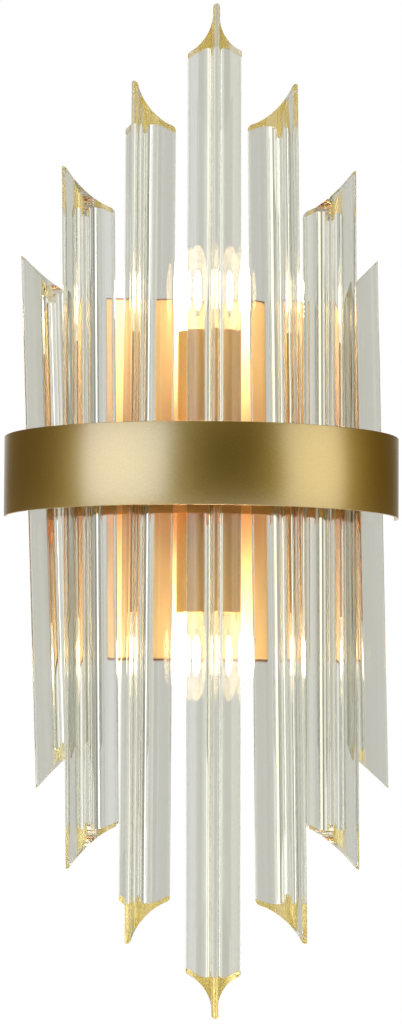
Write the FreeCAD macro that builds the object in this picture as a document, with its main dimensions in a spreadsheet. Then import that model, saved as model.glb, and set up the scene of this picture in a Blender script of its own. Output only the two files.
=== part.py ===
"""Crystal wall sconce: seven three-lobed crystal rods behind a half-round gold band.

Millimetres.  Origin on the wall at the middle of the back plate, +Z up, +X to the right,
and the room towards -Y.  The rods, the band and the ring inside them share one arc centre,
which stands in front of the wall by the size called standoff.
"""
import math
import os
import re

import FreeCAD
import Part
import Sketcher
from FreeCAD import Vector

SIZES = {
    # arc, band and what holds the band's ends
    "standoff": 22.0,
    "band_radius": 100.0,
    "band_wall": 1.5,
    "band_height": 40.6,
    "band_stud_radius": 1.5,
    "band_stud_length": 7.0,
    "band_stud_angle": 85.5,
    "band_stud_rise": 6.0,
    "bar_wall": 2.0,
    "bar_height": 24.0,
    "tab_wall": 1.5,
    "tab_sweep": 9.0,
    "small_nut_flats": 5.5,
    "small_nut_height": 2.4,
    # ring behind the rods
    "ring_radius": 66.0,
    "ring_wall": 1.5,
    "ring_height": 44.0,
    "foot_inner_x": 40.0,
    "foot_height": 20.0,
    # back plate, wall bracket and their fasteners
    "plate_width": 105.0,
    "plate_height": 184.0,
    "plate_depth": 20.0,
    "plate_wall": 1.2,
    "plate_round": 2.5,
    "bracket_width": 36.0,
    "bracket_wall": 2.0,
    "bracket_flange": 14.0,
    "slot_spacing": 70.0,
    "slot_width": 5.0,
    "slot_length": 18.0,
    "side_screw_depth": 8.0,
    "side_screw_length": 8.0,
    "frame_screw_x": 46.0,
    "frame_screw_rise": 6.0,
    "frame_screw_radius": 2.0,
    "frame_screw_length": 9.0,
    "frame_head_radius": 3.8,
    "frame_head_height": 2.2,
    "frame_nut_flats": 7.0,
    "frame_nut_height": 3.2,
    # arm, lamp tube and lampholders
    "tube_axis_depth": 62.0,
    "tube_radius": 15.5,
    "tube_wall": 1.0,
    "tube_height": 140.0,
    "nipple_radius": 5.0,
    "nipple_bore": 3.6,
    "arm_nut_flats": 14.0,
    "arm_nut_height": 3.0,
    "collar_radius": 8.0,
    "block_width": 15.0,
    "block_depth": 20.0,
    "block_height": 22.0,
    "holder_radius": 13.2,
    "holder_inset": 6.0,
    "holder_socket": 31.0,
    "holder_room_radius": 9.0,
    "holder_floor": 3.0,
    "socket_radius": 8.4,
    "sleeve_wall": 0.9,
    "sleeve_height": 22.0,
    "sleeve_lift": 4.5,
    "spring_radius": 3.0,
    # bulbs
    "globe_radius": 22.5,
    "globe_clearance": 21.0,
    "globe_wall": 0.8,
    "neck_height": 7.5,
    "neck_radius": 6.0,
    "neck_top_radius": 14.0,
    "base_height": 21.0,
    "base_radius": 6.3,
    "base_wall": 0.3,
    "thread_radius": 0.6,
    "thread_pitch": 2.8,
    "insulator_height": 2.8,
    "insulator_tip_radius": 3.2,
    "contact_radius": 2.4,
    "contact_height": 1.7,
    # crystal rods
    "rod_circle": 76.7,
    "rod_pitch": 25.9,
    "rod_reach": 15.15,
    "rod_tip_radius": 1.65,
    "rod_waist": 4.6,
    "rod_cut": 44.2,
    "rod_hole_radius": 2.5,
    "rod_hole_past_axis": 2.0,
    "up_middle": 226.3,
    "up_first": 189.0,
    "up_second": 150.2,
    "up_outer": 110.0,
    "down_middle": 267.3,
    "down_first": 231.9,
    "down_second": 196.3,
    "down_outer": 156.5,
    # how each rod was set by hand: along the arc, tilted in the wall's plane, turned on itself
    "shift_left_outer": 1.4,
    "shift_left_second": -0.5,
    "shift_left_first": -1.1,
    "shift_middle": -0.1,
    "shift_right_first": 0.1,
    "shift_right_second": 0.3,
    "shift_right_outer": 0.3,
    "tilt_left_outer": 2.09,
    "tilt_left_second": 0.8,
    "tilt_left_first": -0.06,
    "tilt_middle": 0.23,
    "tilt_right_first": 0.87,
    "tilt_right_second": 0.44,
    "tilt_right_outer": 1.32,
    "turn_left_outer": 1.0,
    "turn_left_second": 0.7,
    "turn_left_first": 0.2,
    "turn_middle": -2.6,
    "turn_right_first": 6.0,
    "turn_right_second": -0.2,
    "turn_right_outer": 0.2,
    # bush in each rod, and the screw that carries it
    "bush_flange_radius": 4.0,
    "bush_flange": 1.2,
    "bush_end_gap": 0.2,
    "screw_radius": 1.5,
    "screw_length": 12.0,
    "screw_head_radius": 2.85,
    "screw_head_height": 1.65,
    "socket_share": 1.3,
    "socket_depth": 1.0,
    "spacer_radius": 3.0,
    # terminal block, leads and earth
    "terminal_pitch": 7.5,
    "terminal_width": 24.0,
    "terminal_depth": 11.0,
    "terminal_height": 18.0,
    "terminal_drop_share": 0.163,
    "terminal_axis": 4.3,
    "terminal_bore": 2.5,
    "terminal_sleeve_wall": 0.35,
    "terminal_screw_radius": 1.3,
    "terminal_screw_spacing": 8.0,
    "ear_length": 4.5,
    "ear_wall": 4.0,
    "lead_radius": 0.8,
    "lead_offset": 1.2,
    "lead_bend": 10.0,
    "junction_bend": 5.0,
    "earth_stud_inset": 16.0,
    "earth_stud_length": 10.0,
    "earth_stud_radius": 2.0,
    "lug_radius": 4.0,
    "lug_wall": 0.8,
    "lug_tongue": 10.0,
    # clearances
    "running_gap": 0.05,
    "hole_gap": 0.2,
    "seat_gap": 0.1,
    "fit_gap": 0.3,
}

RODS = {
    "left_outer": (-3, "outer"),
    "left_second": (-2, "second"),
    "left_first": (-1, "first"),
    "middle": (0, "middle"),
    "right_first": (1, "first"),
    "right_second": (2, "second"),
    "right_outer": (3, "outer"),
}
TURNS = {
    "x": "rotation(vector(0; 1; 0); 90)",
    "y": "rotation(vector(1; 0; 0); -90)",
    "z": "rotation(vector(0; 0; 1); 0)",
}
THREAD_RINGS = 6
SIGNS = (-1, 1)

doc = FreeCAD.newDocument("wall_sconce")
sheet = doc.addObject("Spreadsheet::Sheet", "sizes")
for row, (alias, size) in enumerate(SIZES.items(), start=1):
    sheet.set(f"A{row}", alias)
    sheet.set(f"B{row}", str(size))
    sheet.setAlias(f"B{row}", alias)
doc.recompute()

parts = []


def bound(text):
    """The expression with every size's name pointed at the spreadsheet."""
    def cell(match):
        word = match.group(0)
        return f"sizes.{word}" if word in SIZES else word
    return re.sub(r"[a-z]+(?:_[a-z]+)*", cell, str(text))


def value(text):
    """The number that an expression gives now, in millimetres or degrees."""
    result = sheet.evalExpression(bound(text))
    return float(getattr(result, "Value", result))


def station(rod):
    """Where a rod's own frame sits: on the arc, tilted and turned to face outwards (-Y)."""
    steps, _ = RODS[rod]
    angle = f"(rod_pitch * {steps} + shift_{rod})"
    spot = (f"vector(rod_circle * sin({angle} * 1deg); "
            f"-standoff - rod_circle * cos({angle} * 1deg); 0)")
    turn = f"rotation(vector(0; 1; 0); -tilt_{rod}) * rotation(vector(0; 0; 1); {angle})"
    return f"placement({spot}; {turn})"


def set_place(obj, x, y, z, turn=TURNS["z"], frame=None):
    place = f"placement(vector({x}; {y}; {z}); {turn})"
    if frame:
        place = f"{frame} * {place}"
    obj.setExpression("Placement", bound(place))
    return obj


def box(x, y, z):
    """A block between three pairs of limits."""
    obj = doc.addObject("Part::Box", "block")
    for side, (low, high) in zip(("Length", "Width", "Height"), (x, y, z)):
        obj.setExpression(side, bound(f"({high}) - ({low})"))
    return set_place(obj, x[0], y[0], z[0])


def rod_shape(kind, axis, ends, centre, frame=None):
    """A primitive standing on one axis between two ends; centre is the other two coordinates."""
    obj = doc.addObject(kind, "round")
    obj.setExpression("Height", bound(f"({ends[1]}) - ({ends[0]})"))
    spot = list(centre)
    spot.insert("xyz".index(axis), ends[0])
    return set_place(obj, *spot, TURNS[axis], frame)


def cylinder(radius, axis, ends, centre=(0, 0), frame=None):
    obj = rod_shape("Part::Cylinder", axis, ends, centre, frame)
    obj.setExpression("Radius", bound(radius))
    return obj


def cone(low_radius, high_radius, ends, centre):
    obj = rod_shape("Part::Cone", "z", ends, centre)
    obj.setExpression("Radius1", bound(low_radius))
    obj.setExpression("Radius2", bound(high_radius))
    return obj


def hexagon(flats, axis, ends, centre=(0, 0), frame=None):
    obj = rod_shape("Part::Prism", axis, ends, centre, frame)
    obj.Polygon = 6
    obj.setExpression("Circumradius", bound(f"({flats}) / sqrt(3)"))
    return obj


def sphere(radius, centre):
    obj = doc.addObject("Part::Sphere", "ball")
    obj.setExpression("Radius", bound(radius))
    return set_place(obj, *centre)


def joined(*shapes):
    obj = doc.addObject("Part::MultiFuse", "joined")
    obj.Shapes = list(shapes)
    return obj


def less(base, *tools):
    """The base with every tool cut away."""
    obj = doc.addObject("Part::Cut", "less")
    obj.Base = base
    obj.Tool = tools[0] if len(tools) == 1 else joined(*tools)
    return obj


def group(*shapes):
    """Separate solids kept as one object, for fasteners that are all alike."""
    obj = doc.addObject("Part::Compound", "group")
    obj.Links = list(shapes)
    return obj


def tube(outer, inner, axis, ends, centre=(0, 0), frame=None):
    return less(cylinder(outer, axis, ends, centre, frame), cylinder(inner, axis, ends, centre, frame))


def nut(flats, bore, axis, ends, centre=(0, 0), frame=None):
    return less(hexagon(flats, axis, ends, centre, frame), cylinder(bore, axis, ends, centre, frame))


def named(label, obj):
    obj.Label = label
    parts.append(obj)
    return obj


def half_ring(radius, wall, height, sweep=180, start=180):
    """A band of part of a turn round the arc centre, open towards the wall."""
    sides = []
    for size in (radius, f"({radius}) - ({wall})"):
        side = cylinder(size, "z", (f"-({height}) / 2", f"({height}) / 2"))
        side.setExpression("Angle", bound(sweep))
        set_place(side, 0, "-standoff", f"-({height}) / 2", f"rotation(vector(0; 0; 1); {start})")
        sides.append(side)
    return less(*sides)


# ---- wall side: bracket, back plate and what joins them

def mirrored(builder, signs=SIGNS):
    return [builder(sign) for sign in signs]


def slot_cutter(sign):
    reach = "slot_length / 2 - slot_width / 2"
    ends = ("-bracket_wall - hole_gap", "hole_gap")
    middle = f"{sign} * slot_spacing / 2"
    rounds = [cylinder("slot_width / 2", "y", ends, (0, f"{middle} + {side} * ({reach})"))
              for side in SIGNS]
    flat = box(("-slot_width / 2", "slot_width / 2"), ends, (f"{middle} - ({reach})", f"{middle} + {reach}"))
    return joined(flat, *rounds)


FLANGE_OUT = "(plate_height / 2 - plate_wall - fit_gap)"
TERMINAL_EAR_X = "(terminal_width / 2 + ear_length / 2)"
TERMINAL_TOP = "(-plate_height * terminal_drop_share)"
TERMINAL_MIDDLE = f"({TERMINAL_TOP} - terminal_height / 2)"
STUD_LEVEL = "(earth_stud_inset - plate_height / 2)"


def side_screw_ends(sign, start, stop):
    """Limits along z of a stretch outside (or, if negative, inside) the plate's edge."""
    edge = f"{sign} * (plate_height / 2"
    ends = [f"{edge} + {start})", f"{edge} + {stop})"]
    return ends if sign > 0 else ends[::-1]


def wall_bracket():
    half = "bracket_width / 2"
    strap = box((f"-{half}", half), ("-bracket_wall", 0), (f"-{FLANGE_OUT}", FLANGE_OUT))
    flanges = []
    for sign in SIGNS:
        limits = [f"{sign} * {FLANGE_OUT}", f"{sign} * ({FLANGE_OUT} - bracket_wall)"]
        flanges.append(box((f"-{half}", half), ("-bracket_flange", 0), sorted(limits, key=value)))
    holes = mirrored(slot_cutter)
    holes += [cylinder("frame_screw_radius", "z", side_screw_ends(sign, "-side_screw_length", 1),
                       (0, "-side_screw_depth")) for sign in SIGNS]
    holes += [cylinder("screw_radius", "y", ("-bracket_wall - 1", 1),
                       (f"{sign} * {TERMINAL_EAR_X}", TERMINAL_MIDDLE)) for sign in SIGNS]
    return named("wall_bracket", less(joined(strap, *flanges), *holes))


def back_plate():
    """A shallow tray, open to the wall, with a welded earth stud inside."""
    half_x, half_z = "plate_width / 2", "plate_height / 2"
    inset = "plate_wall"
    shell = doc.addObject("PartDesign::Body", "tray")
    sketch = shell.newObject("Sketcher::SketchObject", "outline")
    plane = next(f for f in shell.Origin.OriginFeatures if f.Role == "XZ_Plane")
    sketch.AttachmentSupport = (plane, "")
    sketch.MapMode = "FlatFace"
    rectangle(sketch, half_x, half_z)
    pad = shell.newObject("PartDesign::Pad", "depth")
    pad.Profile = sketch
    pad.setExpression("Length", bound("plate_depth"))
    doc.recompute()
    # the pad grows towards -Y, away from the wall
    pad.Reversed = pad.Shape.BoundBox.YMax > 1
    doc.recompute()
    front = [f"Edge{n}" for n, edge in enumerate(pad.Shape.Edges, start=1)
             if edge.BoundBox.YMin < -value("plate_depth") / 2]
    rounded = shell.newObject("PartDesign::Fillet", "rounding")
    rounded.Base = (pad, front)
    rounded.setExpression("Radius", bound("plate_round"))
    shell.Tip = rounded
    hollow = box((f"-{half_x} + {inset}", f"{half_x} - {inset}"), ("-plate_depth + plate_wall", 1),
                 (f"-{half_z} + {inset}", f"{half_z} - {inset}"))
    front_wall = ("-plate_depth - 1", "-plate_depth + plate_wall + 1")
    holes = [cylinder("nipple_radius + hole_gap", "y", front_wall)]
    holes += frame_positions("frame_screw_radius + hole_gap", front_wall)
    holes += [cylinder("frame_screw_radius + hole_gap", "z", side_screw_ends(sign, "-plate_wall - 1", 1),
                       (0, "-side_screw_depth")) for sign in SIGNS]
    stud = cylinder("earth_stud_radius", "y", ("-plate_depth + plate_wall / 2",
                                               "-plate_depth + plate_wall + earth_stud_length"),
                    (0, STUD_LEVEL))
    return named("back_plate", joined(less(shell, hollow, *holes), stud))


def rectangle(sketch, half_x, half_y):
    """A rectangle about the sketch's origin, its half sides bound to the sheet."""
    x, y = value(half_x), value(half_y)
    corners = [Vector(-x, -y), Vector(x, -y), Vector(x, y), Vector(-x, y)]
    for start, stop in zip(corners, corners[1:] + corners[:1]):
        sketch.addGeometry(Part.LineSegment(start, stop))
    for side in range(4):
        sketch.addConstraint(Sketcher.Constraint("Coincident", side, 2, (side + 1) % 4, 1))
        sketch.addConstraint(Sketcher.Constraint("Vertical" if side % 2 else "Horizontal", side))
    for kind, size in (("DistanceX", half_x), ("DistanceY", half_y)):
        for first, second in (((0, 1), (-1, 1)), ((-1, 1), (2, 1))):
            index = sketch.addConstraint(Sketcher.Constraint(kind, *first, *second, value(size)))
            sketch.setExpression(f"Constraints[{index}]", bound(size))


FRAME_SITES = [(f"{side} * frame_screw_x", f"{rise} * frame_screw_rise") for side in SIGNS for rise in SIGNS]


def frame_positions(radius, ends):
    """Cylinders at the four screws that hold ring, bar and back plate together."""
    return [cylinder(radius, "y", ends, site) for site in FRAME_SITES]


def span(start, stop, way):
    """Two limits in rising order, for a stretch that runs the given way along its axis."""
    return (start, stop) if way > 0 else (stop, start)


def screw(radius, head_radius, head_height, seat, length, way, axis="y", centre=(0, 0), frame=None):
    """A socket screw whose head sits on the seat and whose shaft runs the given way from it."""
    top = f"{seat} - {way} * ({head_height})"
    shaft = cylinder(radius, axis, span(seat, f"{seat} + {way} * ({length})", way), centre, frame)
    head = cylinder(head_radius, axis, span(top, seat, way), centre, frame)
    socket = hexagon(f"({radius}) * socket_share", axis,
                     span(f"{top} - {way}", f"{top} + {way} * socket_depth", way), centre, frame)
    return less(joined(shaft, head), socket)


def side_screws():
    """Two screws through the plate's top and bottom edges into the bracket."""
    screws = [screw("frame_screw_radius", "frame_head_radius", "frame_head_height",
                    f"{sign} * plate_height / 2", "side_screw_length", -sign, "z",
                    (0, "-side_screw_depth")) for sign in SIGNS]
    return named("side_screws", group(*screws))


# ---- band, support bar and ring

BAR_FRONT = "(-plate_depth - bar_wall)"
BAND_INNER = "(band_radius - band_wall)"
TAB_OUTER = "(band_radius - band_wall - seat_gap)"


def arc_frame(angle):
    """A frame on the arc's centre that looks outwards along -Y at an angle."""
    return f"placement(vector(0; -standoff; 0); rotation(vector(0; 0; 1); {angle}))"


def band_stud_sites():
    return [(arc_frame(f"{side} * band_stud_angle"), f"{rise} * band_stud_rise")
            for side in SIGNS for rise in SIGNS]


def outer_band():
    """The half-round band with its four welded studs."""
    band = half_ring("band_radius", "band_wall", "band_height")
    studs = [cylinder("band_stud_radius", "y", (f"-{BAND_INNER} - band_wall / 2",
                                                f"-{BAND_INNER} + band_stud_length"), (0, rise), frame)
             for frame, rise in band_stud_sites()]
    return named("outer_band", joined(band, *studs))


def support_bar():
    """A flat bar across the back plate, with a curved tab at each end for the band."""
    bar = box((f"-{TAB_OUTER}", TAB_OUTER), (BAR_FRONT, "-plate_depth"),
              ("-bar_height / 2", "bar_height / 2"))
    tabs = [half_ring(TAB_OUTER, "tab_wall", "bar_height", "tab_sweep", start)
            for start in ("180", "360 - tab_sweep")]
    through = (f"{BAR_FRONT} - 1", "-plate_depth + 1")
    holes = frame_positions("frame_screw_radius + hole_gap", through)
    holes.append(cylinder("nipple_radius + hole_gap", "y", through))
    tab_through = (f"-{TAB_OUTER} - 1", f"-{TAB_OUTER} + tab_wall + 1")
    holes += [cylinder("band_stud_radius + hole_gap", "y", tab_through, (0, rise), frame)
              for frame, rise in band_stud_sites()]
    return named("support_bar", less(joined(bar, *tabs), *holes))


def band_nuts():
    seat = f"-{TAB_OUTER} + tab_wall + seat_gap / 2"
    nuts = [nut("small_nut_flats", "band_stud_radius + running_gap", "y",
                (seat, f"{seat} + small_nut_height"), (0, rise), frame)
            for frame, rise in band_stud_sites()]
    return named("band_nuts", group(*nuts))


FOOT_FRONT = f"({BAR_FRONT} - ring_wall)"


def inner_ring():
    """The hoop that carries the rods, with a foot turned in at each end."""
    hoop = half_ring("ring_radius", "ring_wall", "ring_height")
    feet = []
    for sign in SIGNS:
        limits = sorted((f"{sign} * foot_inner_x", f"{sign} * ring_radius"), key=value)
        feet.append(box(limits, (FOOT_FRONT, BAR_FRONT), ("-foot_height / 2", "foot_height / 2")))
    holes = frame_positions("frame_screw_radius + hole_gap", (f"{FOOT_FRONT} - 1", f"{BAR_FRONT} + 1"))
    holes += [cylinder("screw_radius + hole_gap", "y",
                       ("rod_circle - ring_radius - 2", "rod_circle - ring_radius + ring_wall + 2"),
                       frame=station(rod)) for rod in RODS]
    return named("inner_ring", less(joined(hoop, *feet), *holes))


def frame_screws():
    """Four screws through ring feet, bar and back plate."""
    screws = [screw("frame_screw_radius", "frame_head_radius", "frame_head_height", FOOT_FRONT,
                    "frame_screw_length", 1, "y", site) for site in FRAME_SITES]
    return named("frame_screws", group(*screws))


def frame_nuts():
    seat = "-plate_depth + plate_wall"
    nuts = [nut("frame_nut_flats", "frame_screw_radius + running_gap", "y",
                (seat, f"{seat} + frame_nut_height"), site) for site in FRAME_SITES]
    return named("frame_nuts", group(*nuts))


# ---- arm, lamp tube and lampholders

BLOCK_BACK = "(-tube_axis_depth + sqrt((tube_radius - tube_wall) ^ 2 - (block_width / 2) ^ 2) - seat_gap)"
NIPPLE_START = "(nipple_radius + seat_gap)"
HOLDER_BOTTOM = "(block_height / 2 + arm_nut_height)"
HOLDER_TOP = "(tube_height / 2 - holder_inset)"
FLOOR_TOP = f"({HOLDER_TOP} - holder_socket)"
FLOOR_BOTTOM = f"({FLOOR_TOP} - holder_floor)"
ROOM_BOTTOM = f"(({HOLDER_BOTTOM} + {FLOOR_BOTTOM}) / 2)"
AXIS = (0, "-tube_axis_depth")


def upright(low, high, sign):
    """Limits along z above the middle, or the same ones mirrored below it."""
    return (f"{low}", f"{high}") if sign > 0 else (f"-({high})", f"-({low})")


def arm_nipple():
    ends = (f"-tube_axis_depth + {NIPPLE_START}", "-plate_depth + plate_wall + arm_nut_height + fit_gap")
    return named("arm_nipple", tube("nipple_radius", "nipple_bore", "y", ends))


def arm_nut():
    seat = "-plate_depth + plate_wall"
    ends = (seat, f"{seat} + arm_nut_height")
    return named("arm_nut", nut("arm_nut_flats", "nipple_radius + running_gap", "y", ends))


def arm_collar():
    """The sleeve between bar and lamp tube, coped to the tube's round back."""
    sleeve = tube("collar_radius", "nipple_radius + running_gap", "y", ("-tube_axis_depth", BAR_FRONT))
    coping = cylinder("tube_radius + running_gap", "z", ("-tube_height / 2", "tube_height / 2"), AXIS)
    return named("arm_collar", less(sleeve, coping))


def lamp_tube():
    wall = tube("tube_radius", "tube_radius - tube_wall", "z", ("-tube_height / 2", "tube_height / 2"), AXIS)
    hole = cylinder("nipple_radius + hole_gap", "y", ("-tube_axis_depth", "-plate_depth"))
    return named("lamp_tube", less(wall, hole))


def junction_block():
    """The drilled block inside the tube that turns the arm up and down."""
    half = "block_width / 2"
    body = box((f"-{half}", half), (f"{BLOCK_BACK} - block_depth", BLOCK_BACK),
               ("-block_height / 2", "block_height / 2"))
    holes = [cylinder("nipple_bore", "y", ("-tube_axis_depth", BLOCK_BACK)),
             cylinder("nipple_bore", "z", ("-block_height / 2", "block_height / 2"), AXIS),
             cylinder("nipple_radius + running_gap", "y",
                      (f"-tube_axis_depth + {NIPPLE_START} - running_gap", f"{BLOCK_BACK} + 1"))]
    holes += [cylinder("nipple_radius + running_gap", "z",
                       upright(f"{NIPPLE_START} - running_gap", "block_height / 2 + 1", sign), AXIS)
              for sign in SIGNS]
    return named("junction_block", less(body, *holes))


def holder_nipples():
    nipples = [tube("nipple_radius", "nipple_bore", "z",
                    upright(NIPPLE_START, ROOM_BOTTOM, sign), AXIS) for sign in SIGNS]
    return named("holder_nipples", group(*nipples))


def holder_nuts():
    nuts = [nut("arm_nut_flats", "nipple_radius + running_gap", "z",
                upright("block_height / 2", HOLDER_BOTTOM, sign), AXIS) for sign in SIGNS]
    return named("holder_nuts", group(*nuts))


def lampholder(label, sign):
    """A moulded holder: threaded entry, wiring room, floor and open socket."""
    body = cylinder("holder_radius", "z", upright(HOLDER_BOTTOM, HOLDER_TOP, sign), AXIS)
    entry = cylinder("nipple_radius + running_gap", "z",
                     upright(f"{HOLDER_BOTTOM} - 1", f"{ROOM_BOTTOM} + running_gap", sign), AXIS)
    room = cylinder("holder_room_radius", "z", upright(ROOM_BOTTOM, FLOOR_BOTTOM, sign), AXIS)
    socket = cylinder("socket_radius", "z", upright(FLOOR_TOP, f"{HOLDER_TOP} + 1", sign), AXIS)
    return named(label, less(body, entry, room, socket))


def contact_sleeves():
    """The two brass screw shells that take the bulbs."""
    low = f"{FLOOR_TOP} + sleeve_lift"
    outer = "socket_radius - running_gap"
    sleeves = [tube(outer, f"{outer} - sleeve_wall", "z", upright(low, f"{low} + sleeve_height", sign), AXIS)
               for sign in SIGNS]
    return named("contact_sleeves", group(*sleeves))


GLOBE_RISE = "(tube_height / 2 + globe_clearance)"


def contact_springs():
    top = f"{GLOBE_RISE} - bulb_height - seat_gap"
    springs = [cylinder("spring_radius", "z", upright(FLOOR_TOP, bulb(top), sign), AXIS) for sign in SIGNS]
    return named("contact_springs", group(*springs))


# ---- bulbs

def bulb(text):
    """An expression in which bulb_height is the contact's distance from the globe's centre."""
    height = "(globe_radius + neck_height + base_height + insulator_height + contact_height)"
    return text.replace("bulb_height", height)


NECK_BOTTOM = f"({GLOBE_RISE} - globe_radius - neck_height)"


def bulb_glass(label, sign):
    """A hollow round envelope with a short cone down to its base."""
    centre = (*AXIS, f"{sign} * {GLOBE_RISE}")
    cone_top = f"{GLOBE_RISE} - sqrt(globe_radius ^ 2 - neck_top_radius ^ 2)"
    solids = []
    for wall in ("0", "globe_wall"):
        globe = sphere(f"globe_radius - {wall}", centre)
        radii = span(f"neck_radius - {wall}", f"neck_top_radius - {wall}", sign)
        neck = cone(*radii, upright(f"{NECK_BOTTOM} + {wall}", cone_top, sign), AXIS)
        solids.append(joined(globe, neck))
    return named(label, less(*solids))


def bulb_base(label, sign):
    """The threaded shell under the glass."""
    low = f"{NECK_BOTTOM} - base_height"
    shell = tube("base_radius", "base_radius - base_wall", "z", upright(low, NECK_BOTTOM, sign), AXIS)
    rings = []
    for count in range(THREAD_RINGS):
        ring = doc.addObject("Part::Torus", "thread")
        ring.setExpression("Radius1", bound("base_radius"))
        ring.setExpression("Radius2", bound("thread_radius / 2"))
        lift = f"{sign} * ({low} + thread_pitch * {count + 1})"
        set_place(ring, *AXIS, lift)
        rings.append(ring)
    return named(label, joined(shell, *rings))


def bulb_contact(label, sign):
    """The dark insulator and the contact at its tip."""
    high = f"{NECK_BOTTOM} - base_height"
    low = f"{high} - insulator_height"
    radii = span("insulator_tip_radius", "base_radius", sign)
    insulator = cone(*radii, upright(low, high, sign), AXIS)
    contact = cylinder("contact_radius", "z", upright(f"{low} - contact_height", low, sign), AXIS)
    return named(label, joined(insulator, contact))


# ---- crystal rods and what carries them

def crystal(rod):
    """One rod: three rounded ridges, hollow flanks between them, both ends cut on the slant."""
    _, size = RODS[rod]
    body = doc.addObject("PartDesign::Body", "crystal")
    planes = {f.Role: f for f in body.Origin.OriginFeatures}

    section = body.newObject("Sketcher::SketchObject", "section")
    section.AttachmentSupport = (planes["XY_Plane"], "")
    section.MapMode = "FlatFace"
    star_section(section, f"turn_{rod}")
    section.setExpression(".AttachmentOffset.Base.z", bound(f"-down_{size}"))
    pad = body.newObject("PartDesign::Pad", "length")
    pad.Profile = section
    pad.setExpression("Length", bound(f"up_{size} + down_{size}"))

    cuts = body.newObject("Sketcher::SketchObject", "end_cuts")
    cuts.AttachmentSupport = (planes["YZ_Plane"], "")
    cuts.MapMode = "FlatFace"
    for sign, reach in ((1, f"up_{size}"), (-1, f"down_{size}")):
        end_wedge(cuts, sign, reach)
    slant = body.newObject("PartDesign::Pocket", "slanted_ends")
    slant.Profile = cuts
    slant.Type = "ThroughAll"
    slant.Midplane = True
    doc.recompute()

    # from the back: a flat seat for the bush's flange, then the blind hole past the rod's axis
    for radius, depth in (("bush_flange_radius + hole_gap", "-rod_waist"),
                          ("rod_hole_radius", "rod_hole_past_axis")):
        pocket = back_pocket(body, planes["XZ_Plane"], radius, depth)
    body.Tip = pocket
    body.setExpression("Placement", bound(station(rod)))
    return named(f"crystal_{rod}", body)


def back_pocket(body, plane, radius, depth):
    """A round pocket from the rod's back, to a depth measured forwards from its axis."""
    circle = body.newObject("Sketcher::SketchObject", "circle")
    circle.AttachmentSupport = (plane, "")
    circle.MapMode = "FlatFace"
    circle.addGeometry(Part.Circle(Vector(0, 0), Vector(0, 0, 1), value(radius)))
    circle.addConstraint(Sketcher.Constraint("Coincident", 0, 3, -1, 1))
    index = circle.addConstraint(Sketcher.Constraint("Radius", 0, value(radius)))
    circle.setExpression(f"Constraints[{index}]", bound(radius))
    # the plane's normal is -Y, the rod's front
    circle.setExpression(".AttachmentOffset.Base.z", bound(depth))
    before = body.Tip.Shape.Volume
    pocket = body.newObject("PartDesign::Pocket", "pocket")
    pocket.Profile = circle
    pocket.setExpression("Length", bound(f"{depth} + 2 * rod_reach"))
    doc.recompute()
    if before - pocket.Shape.Volume < 1:
        pocket.Reversed = True
        doc.recompute()
    return pocket


FLANK_RADIUS = ("((tip_centre ^ 2 - tip_centre * rod_waist + rod_waist ^ 2 - rod_tip_radius ^ 2)"
                " / (2 * rod_tip_radius - 2 * rod_waist + tip_centre))")


def star(text):
    """An expression in which tip_centre is a ridge's centre and flank_radius a hollow's radius."""
    return text.replace("flank_radius", FLANK_RADIUS).replace("tip_centre", "(rod_reach - rod_tip_radius)")


def star_section(sketch, turn):
    """Three ridge arcs and three hollow flank arcs, tangent to each other, first ridge at -Y."""
    tip_radius = value("rod_tip_radius")
    tip_centre = value(star("tip_centre"))
    flank_radius = value(star("flank_radius"))
    flank_centre = value("rod_waist") + flank_radius
    spots = []
    for count in range(3):
        for kind, distance, radius, offset in (("tip", tip_centre, tip_radius, 0),
                                               ("flank", flank_centre, flank_radius, 60)):
            angle = -90 + value(turn) + 120 * count + offset
            spots.append((kind, angle, distance, radius))
    centres = [Vector(distance * cosine(angle), distance * sine(angle)) for _, angle, distance, _ in spots]
    touching = []
    for index, (kind, _, _, radius) in enumerate(spots):
        after = (index + 1) % len(spots)
        tip, flank = (index, after) if kind == "tip" else (after, index)
        along = (centres[flank] - centres[tip]).normalize()
        touching.append(centres[tip] + along * tip_radius)
    for index, (kind, _, _, radius) in enumerate(spots):
        start, stop = touching[index - 1], touching[index]
        around = Part.Circle(centres[index], Vector(0, 0, 1), radius)
        first, last = (start, stop) if kind == "tip" else (stop, start)
        angles = [around.parameter(first), around.parameter(last)]
        sketch.addGeometry(Part.ArcOfCircle(around, *angles))
    ends = {"tip": (1, 2), "flank": (2, 1)}
    for index, (kind, _, _, _) in enumerate(spots):
        after = (index + 1) % len(spots)
        sketch.addConstraint(Sketcher.Constraint("Tangent", index, ends[kind][1], after,
                                                 ends[spots[after][0]][0]))
    for index, (kind, angle, _, radius) in enumerate(spots):
        size = "rod_tip_radius" if kind == "tip" else "flank_radius"
        number = sketch.addConstraint(Sketcher.Constraint("Radius", index, radius))
        sketch.setExpression(f"Constraints[{number}]", bound(star(size)))
        if kind == "flank":
            continue
        for axis, function, along in (("DistanceX", "cos", centres[index].x),
                                      ("DistanceY", "sin", centres[index].y)):
            place = f"abs(tip_centre * {function}(({angle - value(turn)} + {turn}) * 1deg))"
            ends_of = ((-1, 1), (index, 3)) if along >= 0 else ((index, 3), (-1, 1))
            number = sketch.addConstraint(Sketcher.Constraint(axis, *ends_of[0], *ends_of[1], abs(along)))
            sketch.setExpression(f"Constraints[{number}]", bound(star(place)))


def cosine(angle):
    return math.cos(math.radians(angle))


def sine(angle):
    return math.sin(math.radians(angle))


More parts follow.
